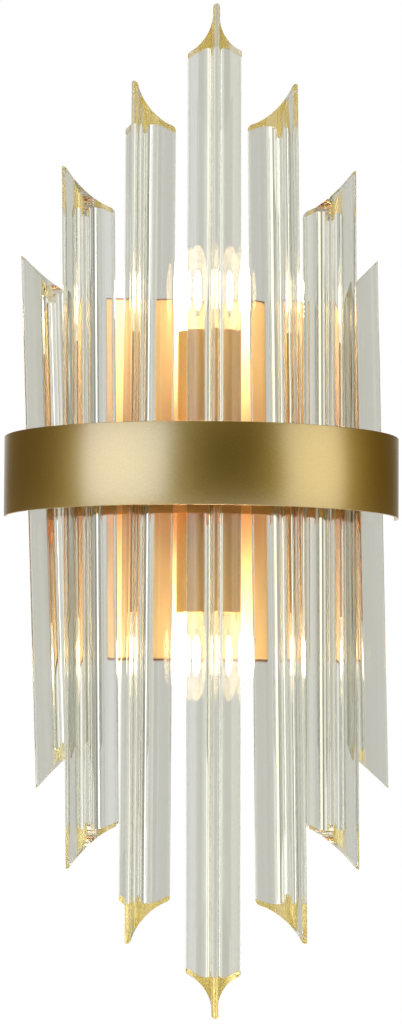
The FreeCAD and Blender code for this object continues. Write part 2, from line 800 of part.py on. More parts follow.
def end_wedge(sketch, sign, reach):
    """A triangle beyond the slanted end: full length at the front ridge, shorter behind."""
    far = "2 * rod_reach"
    tip = Vector(-value("rod_reach"), sign * value(reach))
    low = tip + Vector(value(far), -sign * value(f"{far} * tan(rod_cut * 1deg)"))
    outer = Vector(low.x, tip.y)
    first = sketch.GeometryCount
    corners = [tip, low, outer]
    for start, stop in zip(corners, corners[1:] + corners[:1]):
        sketch.addGeometry(Part.LineSegment(start, stop))
    for side in range(3):
        sketch.addConstraint(Sketcher.Constraint("Coincident", first + side, 2, first + (side + 1) % 3, 1))
    sizes = [("DistanceX", (first, 1), (-1, 1), "rod_reach"),
             ("DistanceX", (-1, 1), (first + 1, 1), f"{far} - rod_reach"),
             ("DistanceX", (-1, 1), (first + 2, 1), f"{far} - rod_reach")]
    drop = f"{reach} - {far} * tan(rod_cut * 1deg)"
    for point, size in (((first, 1), reach), ((first + 1, 1), drop), ((first + 2, 1), reach)):
        pair = ((-1, 1), point) if sign > 0 else (point, (-1, 1))
        sizes.append(("DistanceY", *pair, size))
    for kind, start, stop, size in sizes:
        number = sketch.addConstraint(Sketcher.Constraint(kind, *start, *stop, value(size)))
        sketch.setExpression(f"Constraints[{number}]", bound(size))


RING_FACE = "(rod_circle - ring_radius)"
FLANGE_BACK = "(rod_waist + bush_flange)"
HEAD_SEAT = "(rod_circle - sqrt((ring_radius - ring_wall) ^ 2 - screw_head_radius ^ 2) + seat_gap)"


def bush(rod):
    """The flanged bush cemented into a rod's blind hole."""
    frame = station(rod)
    barrel = cylinder("rod_hole_radius - running_gap", "y",
                      ("-rod_hole_past_axis + bush_end_gap", "rod_waist"), frame=frame)
    flange = cylinder("bush_flange_radius", "y", ("rod_waist", FLANGE_BACK), frame=frame)
    thread = cylinder("screw_radius + running_gap", "y", ("-rod_hole_past_axis - 1", f"{FLANGE_BACK} + 1"),
                      frame=frame)
    return named(f"bush_{rod}", less(joined(barrel, flange), thread))


def crystal_screws():
    screws = [screw("screw_radius", "screw_head_radius", "screw_head_height", HEAD_SEAT, "screw_length", -1,
                    frame=station(rod)) for rod in RODS]
    return named("crystal_screws", group(*screws))


def crystal_spacers():
    spacers = [tube("spacer_radius", "screw_radius + running_gap", "y",
                    (f"{FLANGE_BACK} + seat_gap", f"{RING_FACE} - seat_gap"), frame=station(rod))
               for rod in RODS]
    return named("crystal_spacers", group(*spacers))


# ---- terminal block, leads and earth

POLES = (-1, 0, 1)
TERMINAL_BOTTOM = f"({TERMINAL_TOP} - terminal_height)"
TERMINAL_Y = "(-bracket_wall - terminal_axis)"
TERMINAL_FRONT = "(-bracket_wall - terminal_depth)"


def terminal_screw_sites():
    return [(f"{pole} * terminal_pitch", f"{TERMINAL_MIDDLE} + {side} * terminal_screw_spacing / 2")
            for pole in POLES for side in SIGNS]


def terminal_block():
    half = "terminal_width / 2"
    body = box((f"-{half}", half), (TERMINAL_FRONT, "-bracket_wall"), (TERMINAL_BOTTOM, TERMINAL_TOP))
    ears = box((f"-{half} - ear_length", f"{half} + ear_length"),
               ("-bracket_wall - ear_wall", "-bracket_wall"),
               (f"{TERMINAL_MIDDLE} - ear_length", f"{TERMINAL_MIDDLE} + ear_length"))
    holes = [cylinder("terminal_bore", "z", (f"{TERMINAL_BOTTOM} - 1", f"{TERMINAL_TOP} + 1"),
                      (f"{pole} * terminal_pitch", TERMINAL_Y)) for pole in POLES]
    holes += [cylinder("terminal_screw_radius + running_gap", "y",
                       (f"{TERMINAL_FRONT} - 1", TERMINAL_Y), site) for site in terminal_screw_sites()]
    holes += [cylinder("screw_radius + running_gap", "y", (f"{TERMINAL_FRONT} - 1", "0"),
                       (f"{sign} * {TERMINAL_EAR_X}", TERMINAL_MIDDLE)) for sign in SIGNS]
    return named("terminal_block", less(joined(body, ears), *holes))


def terminal_sleeves():
    ends = (f"{TERMINAL_BOTTOM} + 1", f"{TERMINAL_TOP} - 1")
    sleeves = [tube("terminal_bore - running_gap", "terminal_bore - terminal_sleeve_wall", "z", ends,
                    (f"{pole} * terminal_pitch", TERMINAL_Y)) for pole in POLES]
    return named("terminal_sleeves", group(*sleeves))


def terminal_screws():
    tip = f"{TERMINAL_Y} - terminal_bore"
    screws = [cylinder("terminal_screw_radius", "y", (f"{TERMINAL_FRONT} + fit_gap", tip), site)
              for site in terminal_screw_sites()]
    return named("terminal_screws", group(*screws))


def terminal_fixings():
    screws = [screw("screw_radius - running_gap", "ear_length / 2 - fit_gap", "screw_head_height",
                    "(-bracket_wall - ear_wall)", "ear_wall + bracket_wall", 1,
                    centre=(f"{sign} * {TERMINAL_EAR_X}", TERMINAL_MIDDLE)) for sign in SIGNS]
    return named("terminal_fixings", group(*screws))


def wire_path(corners):
    """Straight runs joined by tangent arcs; each corner is a point and its bend radius."""
    points = [Vector(*(value(part) for part in point)) for point, _ in corners]
    edges, start = [], points[0]
    for before, here, after, (_, bend) in zip(points, points[1:], points[2:], corners[1:]):
        into, out = (here - before).normalize(), (after - here).normalize()
        cut = value(bend) * math.tan(into.getAngle(out) / 2)
        first, last = here - into * cut, here + out * cut
        inward = (out - into).normalize()
        lift = value(bend) * (1 / math.cos(into.getAngle(out) / 2) - 1)
        edges.append(Part.LineSegment(start, first).toShape())
        edges.append(Part.Arc(first, here + inward * lift, last).toShape())
        start = last
    edges.append(Part.LineSegment(start, points[-1]).toShape())
    return Part.Wire(edges)


def lead(label, corners):
    """A round wire swept along its path."""
    path = wire_path(corners)
    start = path.Vertexes[0].Point
    along = path.Edges[0].tangentAt(path.Edges[0].FirstParameter)
    profile = Part.Wire(Part.Circle(start, along, value("lead_radius")).toShape())
    solid = path.makePipeShell([profile], True, False)
    expected = math.pi * value("lead_radius") ** 2 * path.Length
    print(f"{label}: volume {solid.Volume:.1f}, section times length {expected:.1f}")
    obj = doc.addObject("Part::Feature", label)
    obj.Shape = solid
    return named(label, obj)


def supply_lead(label, pole, sign):
    """From the terminal block up through the arm to one lampholder."""
    bend = "(-plate_depth + plate_wall + arm_nut_height + 2 * fit_gap)"
    side = f"{pole} * lead_offset"
    outer = f"{sign} * lead_offset"
    depth = f"({TERMINAL_Y} + {outer})"
    swing = f"({depth} - {bend})"
    arm_level = outer
    corners = [
        ((f"{pole} * terminal_pitch", depth, f"{TERMINAL_TOP} - 4"), None),
        ((f"{pole} * terminal_pitch", depth, f"{TERMINAL_TOP} + 3"), "lead_bend"),
        ((side, depth, f"{TERMINAL_TOP} / 2"), "lead_bend"),
        ((side, depth, arm_level), swing),
        ((side, "-tube_axis_depth", arm_level), "junction_bend"),
        ((side, "-tube_axis_depth", f"{sign} * ({FLOOR_BOTTOM} - seat_gap)"), None),
    ]
    return lead(label, corners)


LUG_BACK = "(-plate_depth + plate_wall + lug_wall)"


def earth_lead():
    """From the middle pole down to the lug on the back plate's stud."""
    rest = f"({LUG_BACK} + lead_radius)"
    tongue_top = f"({STUD_LEVEL} + lug_tongue)"
    corners = [
        ((0, TERMINAL_Y, f"{TERMINAL_BOTTOM} + 4"), None),
        ((0, TERMINAL_Y, f"{TERMINAL_BOTTOM} - 3"), "lead_bend"),
        ((0, rest, f"{tongue_top} + 2"), "lead_bend"),
        ((0, rest, f"{tongue_top} - 5"), None),
    ]
    return lead("earth_lead", corners)


def earth_lug():
    plate_face = "(-plate_depth + plate_wall)"
    eye = cylinder("lug_radius", "y", (plate_face, LUG_BACK), (0, STUD_LEVEL))
    tongue = box(("-lug_radius / 2", "lug_radius / 2"), (plate_face, LUG_BACK),
                 (STUD_LEVEL, f"{STUD_LEVEL} + lug_tongue"))
    hole = cylinder("earth_stud_radius + running_gap", "y", (f"{plate_face} - 1", f"{LUG_BACK} + 1"),
                    (0, STUD_LEVEL))
    return named("earth_lug", less(joined(eye, tongue), hole))


def earth_nut():
    ends = (LUG_BACK, f"{LUG_BACK} + frame_nut_height")
    return named("earth_nut", nut("frame_nut_flats", "earth_stud_radius + running_gap", "y", ends,
                                  (0, STUD_LEVEL)))


def build():
    for maker in (wall_bracket, back_plate, side_screws, support_bar, outer_band, band_nuts, inner_ring,
                  frame_screws, frame_nuts, arm_nipple, arm_nut, arm_collar, lamp_tube, junction_block,
                  holder_nipples, holder_nuts, contact_sleeves, contact_springs, crystal_screws,
                  crystal_spacers, terminal_block, terminal_sleeves, terminal_screws, terminal_fixings,
                  earth_lug, earth_nut, earth_lead):
        maker()
    for place, sign in (("upper", 1), ("lower", -1)):
        lampholder(f"lampholder_{place}", sign)
        bulb_glass(f"bulb_glass_{place}", sign)
        bulb_base(f"bulb_base_{place}", sign)
        bulb_contact(f"bulb_contact_{place}", sign)
        supply_lead(f"lead_brown_{place}", -1, sign)
        supply_lead(f"lead_blue_{place}", 1, sign)
    for rod in RODS:
        crystal(rod)
        bush(rod)


def export():
    doc.recompute()
    for obj in doc.Objects:
        if {"Invalid", "Error"} & set(obj.State):
            raise RuntimeError(f"{obj.Label}: {obj.State}")
    for obj in parts:
        if obj.Shape.isNull() or not obj.Shape.isValid() or not obj.Shape.Solids:
            raise RuntimeError(f"{obj.Label} has no valid solid")
    os.makedirs("parts", exist_ok=True)
    for obj in parts:
        obj.Shape.exportStep(f"parts/{obj.Label}.step")
    print(len(parts), "parts written")


build()
export()
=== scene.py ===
"""Looks of the crystal wall sconce: seven crystal rods behind a half-round gold band.

Metres, in the part's own frame: the origin on the wall at the middle of the back plate,
+Z up, +X to the right and the room towards -Y.  The lamps inside are lit.
"""

import math

import bmesh
import bpy
from mathutils import Matrix, Vector


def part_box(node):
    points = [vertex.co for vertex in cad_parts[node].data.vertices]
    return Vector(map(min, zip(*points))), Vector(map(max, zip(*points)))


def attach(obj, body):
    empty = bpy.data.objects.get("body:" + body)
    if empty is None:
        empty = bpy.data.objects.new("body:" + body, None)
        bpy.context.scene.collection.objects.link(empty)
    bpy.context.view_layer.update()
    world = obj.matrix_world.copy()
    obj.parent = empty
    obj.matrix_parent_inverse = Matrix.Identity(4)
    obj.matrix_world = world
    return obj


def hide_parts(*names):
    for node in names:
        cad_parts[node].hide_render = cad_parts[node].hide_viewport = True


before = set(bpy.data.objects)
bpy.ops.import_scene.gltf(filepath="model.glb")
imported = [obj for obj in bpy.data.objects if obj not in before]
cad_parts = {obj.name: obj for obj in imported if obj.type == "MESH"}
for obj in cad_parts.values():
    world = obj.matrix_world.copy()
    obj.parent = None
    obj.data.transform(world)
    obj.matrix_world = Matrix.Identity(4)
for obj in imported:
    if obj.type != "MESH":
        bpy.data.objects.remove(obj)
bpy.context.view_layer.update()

MM = 0.001

# ---- sizes read from the frame

_, band_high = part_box("outer_band")
plate_low, plate_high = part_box("back_plate")
tube_low, tube_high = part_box("lamp_tube")
BAND_RADIUS = band_high.x
BAND_TOP = band_high.z
STANDOFF = -band_high.y
TUBE_DEPTH = -(tube_low.y + tube_high.y) / 2
ARC_CENTRE = Vector((0, -STANDOFF, 0))

# ---- sizes of the pieces made here, as the part has them; angles in degrees

BAND_WALL = 1.5 * MM
BAND_EDGE = 0.35 * MM
BAND_STUD_RADIUS = 1.5 * MM
BAND_STUD_LENGTH = 7 * MM
BAND_STUD_ANGLE = 85.5
BAND_STUD_RISE = 6 * MM
ROD_CIRCLE = 76.7 * MM
ROD_PITCH = 25.9
ROD_REACH = 15.15 * MM
ROD_TIP_RADIUS = 1.65 * MM
ROD_WAIST = 4.6 * MM
ROD_CUT = 44.2
ROD_EDGE = 0.25 * MM
ROD_HOLE_RADIUS = 2.5 * MM
ROD_HOLE_PAST_AXIS = 2 * MM
ROD_SEAT_RADIUS = 4.2 * MM
ROD_SEAT_MARGIN = 1 * MM
ROD_ALLOWANCE = 1 * MM
GLOBE_ARC = 141.5
GLOBE_NECK = 6 * MM
CAPSULE_RADIUS = 7 * MM
CAPSULE_LENGTH = 20 * MM
PINCH_SIZE = Vector((7, 2.4, 6)) * MM
PINCH_EDGE = 0.6 * MM
WIRE_RADIUS = 0.45 * MM
WIRE_GAP = 4.5 * MM
WIRE_SUNK = 4 * MM

# each rod: its place along the arc, its reach above and below the middle in mm, and how it
# was set by hand in degrees: along the arc, tilted in the wall's plane, turned on itself
RODS = {
    "left_outer": (-3, 110.0, 156.5, 1.4, 2.09, 1.0),
    "left_second": (-2, 150.2, 196.3, -0.5, 0.8, 0.7),
    "left_first": (-1, 189.0, 231.9, -1.1, -0.06, 0.2),
    "middle": (0, 226.3, 267.3, -0.1, 0.23, -2.6),
    "right_first": (1, 189.0, 231.9, 0.1, 0.87, 6.0),
    "right_second": (2, 150.2, 196.3, 0.3, 0.44, -0.2),
    "right_outer": (3, 110.0, 156.5, 0.3, 1.32, 0.2),
}

# ---- how finely round shapes are drawn, in steps, and the angles past which edges are sharp

BAND_STEPS = 180
STUD_STEPS = 32
RIDGE_STEPS = 24
FLANK_STEPS = 28
HOLE_STEPS = 48
GLOBE_PROFILE_STEPS = 40
GLOBE_ROUND_STEPS = 64
CAPSULE_STEPS = 32
CAPSULE_RINGS = 24
WIRE_STEPS = 12
EASED_STEPS = 2
CREASE = 32
# kept low, so that the long polished sides stay straight up to the cuts
CRYSTAL_CREASE = 11
# vertices nearer than this are one
SAME_POINT = 1e-7


# ---- making pieces

def as_object(name, bm):
    """Turns a bmesh into an object of the scene."""
    mesh = bpy.data.meshes.new(name)
    bm.to_mesh(mesh)
    bm.free()
    made = bpy.data.objects.new(name, mesh)
    bpy.context.scene.collection.objects.link(made)
    return made


def finished(name, bm, material, body, replaced=(), crease=CREASE):
    """Turns a bmesh into a piece that rides on its body, smooth but for its creased edges."""
    bmesh.ops.remove_doubles(bm, verts=bm.verts, dist=SAME_POINT)
    bmesh.ops.recalc_face_normals(bm, faces=bm.faces)
    piece = as_object(name, bm)
    piece.data.shade_smooth()
    piece.data.set_sharp_from_angle(angle=math.radians(crease))
    piece.data.materials.append(material)
    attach(piece, body)
    if replaced:
        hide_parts(*replaced)


def carried(bm, verts, centre, axis, degrees, steps):
    """Draws an arc by carrying vertices round a centre; gives the vertices at its far end."""
    turned = bmesh.ops.spin(bm, geom=verts, cent=centre, axis=axis, angle=math.radians(degrees),
                            steps=steps, use_duplicate=False)
    return [v for v in turned["geom_last"] if isinstance(v, bmesh.types.BMVert)]


def polar(distance, degrees):
    """A point in the plane, by its distance and its angle from +X."""
    angle = math.radians(degrees)
    return Vector((distance * math.cos(angle), distance * math.sin(angle), 0))


def everything(bm):
    """All of a bmesh, for the operators that cut it."""
    return bm.verts[:] + bm.edges[:] + bm.faces[:]


def eased(bm, edges, width):
    """Breaks sharp edges by a small rounding."""
    bmesh.ops.bevel(bm, geom=edges, offset=width, affect="EDGES", segments=EASED_STEPS,
                    profile=0.5, material=-1, clamp_overlap=True)


def sharp_edges(bm, degrees=40):
    """The edges where two faces meet at more than this angle."""
    limit = math.radians(degrees)
    return [e for e in bm.edges if e.is_manifold and e.calc_face_angle() > limit]


# ---- crystal rods

TIP_CENTRE = ROD_REACH - ROD_TIP_RADIUS
FLANK_RADIUS = ((TIP_CENTRE ** 2 - TIP_CENTRE * ROD_WAIST + ROD_WAIST ** 2 - ROD_TIP_RADIUS ** 2)
                / (2 * ROD_TIP_RADIUS - 2 * ROD_WAIST + TIP_CENTRE))
FLANK_CENTRE = ROD_WAIST + FLANK_RADIUS


def star_outline(bm, turn, height):
    """Three rounded ridges joined by three hollow flanks, the first ridge towards -Y."""
    to_flank = polar(FLANK_CENTRE, 60) - polar(TIP_CENTRE, 0)
    half = math.degrees(math.atan2(to_flank.y, to_flank.x))
    lift = Vector((0, 0, height))
    first = -90 + turn
    start = polar(TIP_CENTRE, first) + polar(ROD_TIP_RADIUS, first - half) + lift
    verts = [bm.verts.new(start)]
    for count in range(3):
        around = first + 120 * count
        verts = carried(bm, verts, polar(TIP_CENTRE, around) + lift, (0, 0, 1),
                        2 * half, RIDGE_STEPS)
        verts = carried(bm, verts, polar(FLANK_CENTRE, around + 60) + lift, (0, 0, 1),
                        120 - 2 * half, FLANK_STEPS)
    bmesh.ops.remove_doubles(bm, verts=bm.verts, dist=SAME_POINT)
    return bmesh.ops.contextual_create(bm, geom=bm.edges)["faces"]


def cut_end(bm, sign, reach):
    """Cuts one end on the slant, full length at the front ridge and shorter behind."""
    slant = math.radians(ROD_CUT)
    normal = Vector((0, math.sin(slant), sign * math.cos(slant)))
    point = Vector((0, -ROD_REACH, sign * reach))
    cut = bmesh.ops.bisect_plane(bm, geom=everything(bm), dist=SAME_POINT, plane_co=point,
                                 plane_no=normal, clear_outer=True)
    rim = [e for e in cut["geom_cut"] if isinstance(e, bmesh.types.BMEdge)]
    bmesh.ops.contextual_create(bm, geom=rim)
    return rim


def rod_hole():
    """What is drilled out of a rod's back: the blind hole and the flat seat of its bush."""
    bm = bmesh.new()
    back = 2 * ROD_REACH
    for radius, front in ((ROD_HOLE_RADIUS, -ROD_HOLE_PAST_AXIS), (ROD_SEAT_RADIUS, ROD_WAIST)):
        placed = (Matrix.Translation((0, (front + back) / 2, 0))
                  @ Matrix.Rotation(math.pi / 2, 4, "X"))
        bmesh.ops.create_cone(bm, cap_ends=True, segments=HOLE_STEPS, radius1=radius,
                              radius2=radius, depth=back - front, matrix=placed)
    return as_object("rod_hole", bm)


def drilled(bm):
    """The rod less its hole, as a new bmesh."""
    blank = as_object("rod_blank", bm)
    drill = rod_hole()
    cut = blank.modifiers.new("hole", "BOOLEAN")
    cut.object = drill
    cut.solver = "EXACT"
    cut.use_self = True
    result = bmesh.new()
    result.from_object(blank, bpy.context.evaluated_depsgraph_get())
    for obj in (blank, drill):
        bpy.data.objects.remove(obj)
    return result


def crystal_rod(name, material):
    """One rod: its star section drawn long, cut at both ends, drilled and set in its place."""
    step, up, down, shift, tilt, turn = RODS[name]
    up, down = up * MM, down * MM
    bm = bmesh.new()
    base = star_outline(bm, turn, -down - ROD_ALLOWANCE)
    body = bmesh.ops.extrude_face_region(bm, geom=base)
    raised = [v for v in body["geom"] if isinstance(v, bmesh.types.BMVert)]
    bmesh.ops.translate(bm, verts=raised, vec=(0, 0, up + down + 2 * ROD_ALLOWANCE))
    bmesh.ops.recalc_face_normals(bm, faces=bm.faces)
    for sign, reach in ((1, up), (-1, down)):
        eased(bm, cut_end(bm, sign, reach), ROD_EDGE)
    # a ring of edges above and below the hole keeps the long sides' shading clear of it
    ring = ROD_SEAT_RADIUS + ROD_SEAT_MARGIN
    for level in (-ring, ring):
        bmesh.ops.bisect_plane(bm, geom=everything(bm), dist=SAME_POINT,
                               plane_co=(0, 0, level), plane_no=(0, 0, 1))
    bm = drilled(bm)
    angle = math.radians(ROD_PITCH * step + shift)
    spot = ARC_CENTRE + Vector((ROD_CIRCLE * math.sin(angle), -ROD_CIRCLE * math.cos(angle), 0))
    placed = (Matrix.Translation(spot) @ Matrix.Rotation(math.radians(-tilt), 4, "Y")
              @ Matrix.Rotation(angle, 4, "Z"))
    bmesh.ops.transform(bm, matrix=placed, verts=bm.verts)
    finished(f"rod_{name}", bm, material, f"rod_{name}", [f"crystal_{name}"],
             CRYSTAL_CREASE)


# ---- band

def outer_band(material):
    """The half-round band with its edges eased, and the four studs welded inside its ends."""
    bm = bmesh.new()
    inner, outer = BAND_RADIUS - BAND_WALL, BAND_RADIUS
    corners = ((inner, -BAND_TOP), (outer, -BAND_TOP), (outer, BAND_TOP), (inner, BAND_TOP))
    verts = [bm.verts.new(ARC_CENTRE + Vector((-radius, 0, level))) for radius, level in corners]
    section = bm.faces.new(verts)
    bmesh.ops.spin(bm, geom=[section, *section.edges, *verts], cent=ARC_CENTRE, axis=(0, 0, 1),
                   angle=math.pi, steps=BAND_STEPS, use_duplicate=False)
    bmesh.ops.recalc_face_normals(bm, faces=bm.faces)
    eased(bm, sharp_edges(bm), BAND_EDGE)
    middle = -(inner - BAND_STUD_LENGTH / 2 + BAND_EDGE)
    for side in (-1, 1):
        for rise in (-1, 1):
            angle = math.radians(BAND_STUD_ANGLE * side)
            placed = (Matrix.Translation(ARC_CENTRE) @ Matrix.Rotation(angle, 4, "Z")
                      @ Matrix.Translation((0, middle, rise * BAND_STUD_RISE))
                      @ Matrix.Rotation(math.pi / 2, 4, "X"))
            bmesh.ops.create_cone(bm, cap_ends=True, segments=STUD_STEPS,
                                  radius1=BAND_STUD_RADIUS, radius2=BAND_STUD_RADIUS,
                                  depth=BAND_STUD_LENGTH, matrix=placed)
    finished("band", bm, material, "fixture", ["outer_band"])


# ---- lamps

LAMP_AXIS = Vector((0, -TUBE_DEPTH, 0))


def lamp_levels(place):
    """Which way a lamp points, +1 for up, the levels of its top and neck, and its radius."""
    low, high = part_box(f"bulb_glass_{place}")
    radius = (high.x - low.x) / 2
    return (1, high.z, low.z, radius) if place == "upper" else (-1, low.z, high.z, radius)


def lamp_globe(place, material):
    """The round envelope of one lamp, with the short neck down to its screw base."""
    sign, top, neck, radius = lamp_levels(place)
    centre = LAMP_AXIS + Vector((0, 0, top - sign * radius))
    bm = bmesh.new()
    verts = [bm.verts.new(LAMP_AXIS + Vector((0, 0, top)))]
    verts = carried(bm, verts, centre, (0, 1, 0), sign * GLOBE_ARC, GLOBE_PROFILE_STEPS)
    neck_vert = bm.verts.new(LAMP_AXIS + Vector((GLOBE_NECK, 0, neck)))
    bm.edges.new((verts[0], neck_vert))
    bmesh.ops.spin(bm, geom=bm.verts[:] + bm.edges[:], cent=LAMP_AXIS, axis=(0, 0, 1),
                   angle=2 * math.pi, steps=GLOBE_ROUND_STEPS, use_merge=True,
                   use_duplicate=False)
    finished(f"globe_{place}", bm, material, f"bulb_{place}",
             [f"bulb_glass_{place}"])


def lamp_capsule(place, material):
    """The small quartz burner that glows in the middle of the globe: a round-ended capsule."""
    sign, top, _, radius = lamp_levels(place)
    middle = Vector((0, -TUBE_DEPTH, top - sign * radius))
    bm = bmesh.new()
    bmesh.ops.create_uvsphere(bm, u_segments=CAPSULE_STEPS, v_segments=CAPSULE_RINGS,
                              radius=CAPSULE_RADIUS)
    half = CAPSULE_LENGTH / 2 - CAPSULE_RADIUS
    # the two halves move apart, and the ring between them stays
    for end in (-1, 1):
        verts = [v for v in bm.verts if v.co.z * end > SAME_POINT]
        bmesh.ops.translate(bm, verts=verts, vec=(0, 0, end * half))
    bmesh.ops.translate(bm, verts=bm.verts, vec=middle)
    finished(f"capsule_{place}", bm, material, f"bulb_{place}")


def capsule_stem(place, material):
    """The pinched glass foot of the burner and the two wires that carry it from the base."""
    sign, top, neck, radius = lamp_levels(place)
    foot = top - sign * (radius + CAPSULE_LENGTH / 2)
    wire_top = foot + sign * PINCH_SIZE.z / 2
    wire_end = neck - sign * WIRE_SUNK
    bm = bmesh.new()
    for side in (-1, 1):
        middle = LAMP_AXIS + Vector((side * WIRE_GAP / 2, 0, (wire_top + wire_end) / 2))
        bmesh.ops.create_cone(bm, cap_ends=True, segments=WIRE_STEPS, radius1=WIRE_RADIUS,
                              radius2=WIRE_RADIUS, depth=abs(wire_top - wire_end),
                              matrix=Matrix.Translation(middle))
    placed = (Matrix.Translation(LAMP_AXIS + Vector((0, 0, foot)))
              @ Matrix.Diagonal((*PINCH_SIZE, 1)))
    made = bmesh.ops.create_cube(bm, size=1, matrix=placed)
    edges = {e for v in made["verts"] for e in v.link_edges}
    eased(bm, list(edges), PINCH_EDGE)
    finished(f"capsule_stem_{place}", bm, material, f"bulb_{place}")


# ---- materials

def linear(text):
    """An sRGB hex colour as the linear colour that a shader takes."""
    parts = [int(text[i:i + 2], 16) / 255 for i in (0, 2, 4)]
    return [p / 12.92 if p <= 0.04045 else ((p + 0.055) / 1.055) ** 2.4 for p in parts] + [1]


def add(tree, kind, inputs=None, stops=(), **settings):
    """Adds a node.  A socket takes a value or another node's output, a ramp its stops."""
    made = tree.nodes.new(kind)
    for name, value in settings.items():
        setattr(made, name, value)
    for name, value in (inputs or {}).items():
        if isinstance(value, bpy.types.NodeSocket):
            tree.links.new(value, made.inputs[name])
        else:
            made.inputs[name].default_value = value
    for index, (position, colour) in enumerate(stops):
        ramp = made.color_ramp.elements
        stop = ramp[index] if index < 2 else ramp.new(position)
        stop.position = position
        stop.color = colour
    return made


def surface(name, finish):
    """A material with a Principled surface, and its sockets' values as a dictionary."""
    material = bpy.data.materials.new(name)
    material.use_nodes = True
    tree = material.node_tree
    tree.nodes.clear()
    shader = add(tree, "ShaderNodeBsdfPrincipled", finish)
    out = add(tree, "ShaderNodeOutputMaterial", {"Surface": shader.outputs["BSDF"]})
    return material, tree, shader, out


def grained(name, finish, size, depth, colours):
    """A surface with its grain: a noise of a real size, as bump and as a drift of colour."""
    material, tree, shader, _ = surface(name, finish)
    place = add(tree, "ShaderNodeTexCoord")
    grain = add(tree, "ShaderNodeTexNoise", {
        "Vector": place.outputs["Object"], "Scale": 1 / size, "Detail": 3.0, "Roughness": 0.55})
    bump = add(tree, "ShaderNodeBump", {
        "Height": grain.outputs["Fac"], "Strength": 1.0, "Distance": depth})
    tint = add(tree, "ShaderNodeValToRGB", {"Fac": grain.outputs["Fac"]},
               [(0.35, linear(colours[0])), (0.65, linear(colours[1]))])
    tree.links.new(bump.outputs["Normal"], shader.inputs["Normal"])
    tree.links.new(tint.outputs["Color"], shader.inputs["Base Color"])
    return material


def gold_lacquer():
    """Steel lacquered in satin gold: deep gold in the shade, cream where the coat is lit."""
    return grained("gold_lacquered_steel", {
        "Metallic": 1.0, "Roughness": 0.47, "Coat Weight": 1.0, "Coat Roughness": 0.27,
        "Coat IOR": 2.5}, size=0.5 * MM, depth=0.014 * MM, colours=("AE9130", "BFA042"))


def gold_paint(name, colours):
    """Sheet steel sprayed in gold paint: duller than the band and with a fine orange peel."""
    return grained(name, {"Metallic": 0.2, "Roughness": 0.4},
                   size=0.8 * MM, depth=0.02 * MM, colours=colours)


# the painted shade on the front folds: from the fold's face inwards, from the front backwards,
# and its soft end
PAINTED_SHADE_FOLD = 0.54 * MM
PAINTED_SHADE_REACH = 1.8 * MM
PAINTED_SHADE_FADE = 0.9 * MM


def painted_shade_edge(material, level, front):
    """Darkens the paint of the top and bottom folds at the front towards dark brown: painted
    shade where the rounded edge turns away from the light.
    """
    fold = level - PAINTED_SHADE_FOLD
    reach = front + PAINTED_SHADE_REACH
    tree = material.node_tree
    shader = next(n for n in tree.nodes if n.type == "BSDF_PRINCIPLED")
    paint = shader.inputs["Base Color"].links[0].from_socket
    place = add(tree, "ShaderNodeTexCoord")
    axes = add(tree, "ShaderNodeSeparateXYZ", {"Vector": place.outputs["Object"]})
    height = add(tree, "ShaderNodeMath", {0: axes.outputs["Z"]}, operation="ABSOLUTE")
    folded = add(tree, "ShaderNodeMapRange", {
        "Value": height.outputs[0], "From Min": fold - PAINTED_SHADE_FADE, "From Max": fold})
    ahead = add(tree, "ShaderNodeMapRange", {
        "Value": axes.outputs["Y"], "From Min": reach + PAINTED_SHADE_FADE, "From Max": reach})
    painted_shade_mask = add(tree, "ShaderNodeMath", {0: folded.outputs[0], 1: ahead.outputs[0]},
               operation="MULTIPLY")
    # painted shade: dark brown 6A3A12 mixed into the paint on the front folds
    painted_shade = add(tree, "ShaderNodeMix", {0: painted_shade_mask.outputs[0], 6: paint, 7: linear("6A3A12")},
                data_type="RGBA")
    tree.links.new(painted_shade.outputs[2], shader.inputs["Base Color"])
    return material


def zinc():
    """Zinc-plated steel of the fasteners: bright grey with a faint cloudiness."""
    return grained("zinc_plated_steel", {"Metallic": 1.0, "Roughness": 0.34},
                   size=1.2 * MM, depth=0.004 * MM, colours=("AEB2B4", "C9CCCC"))


def brass():
    """Turned brass, left bare: yellow and fairly bright, with fine tool marks."""
    return grained("turned_brass", {"Metallic": 1.0, "Roughness": 0.28},
                   size=0.3 * MM, depth=0.003 * MM, colours=("C49A48", "D6B060"))


def crystal_glass():
    """Polished crystal: clear, with a grey tint that is painted shade for the dim room its
    hollow flanks show, and a yellow seen only along its length.

    Lamp light passes through it as through clear glass, and leaves a pale shadow.
    """
    material, tree, shader, out = surface("polished_crystal", {
        # the grey base colour is painted shade: it darkens all light through the crystal, as the
        # dim room seen through the flanks would
        "Base Color": linear("C6C6BD"), "Roughness": 0.0, "IOR": 1.52,
        "Transmission Weight": 1.0})
    body = add(tree, "ShaderNodeVolumeAbsorption", {"Color": linear("FEF0A0"), "Density": 4.0})
    tree.links.new(body.outputs["Volume"], out.inputs["Volume"])
    path = add(tree, "ShaderNodeLightPath")
    shade = add(tree, "ShaderNodeBsdfTransparent", {"Color": linear("F2F2EE")})
    both = add(tree, "ShaderNodeMixShader", {
        0: path.outputs["Is Shadow Ray"], 1: shader.outputs[0], 2: shade.outputs[0]})
    tree.links.new(both.outputs[0], out.inputs["Surface"])
    return material


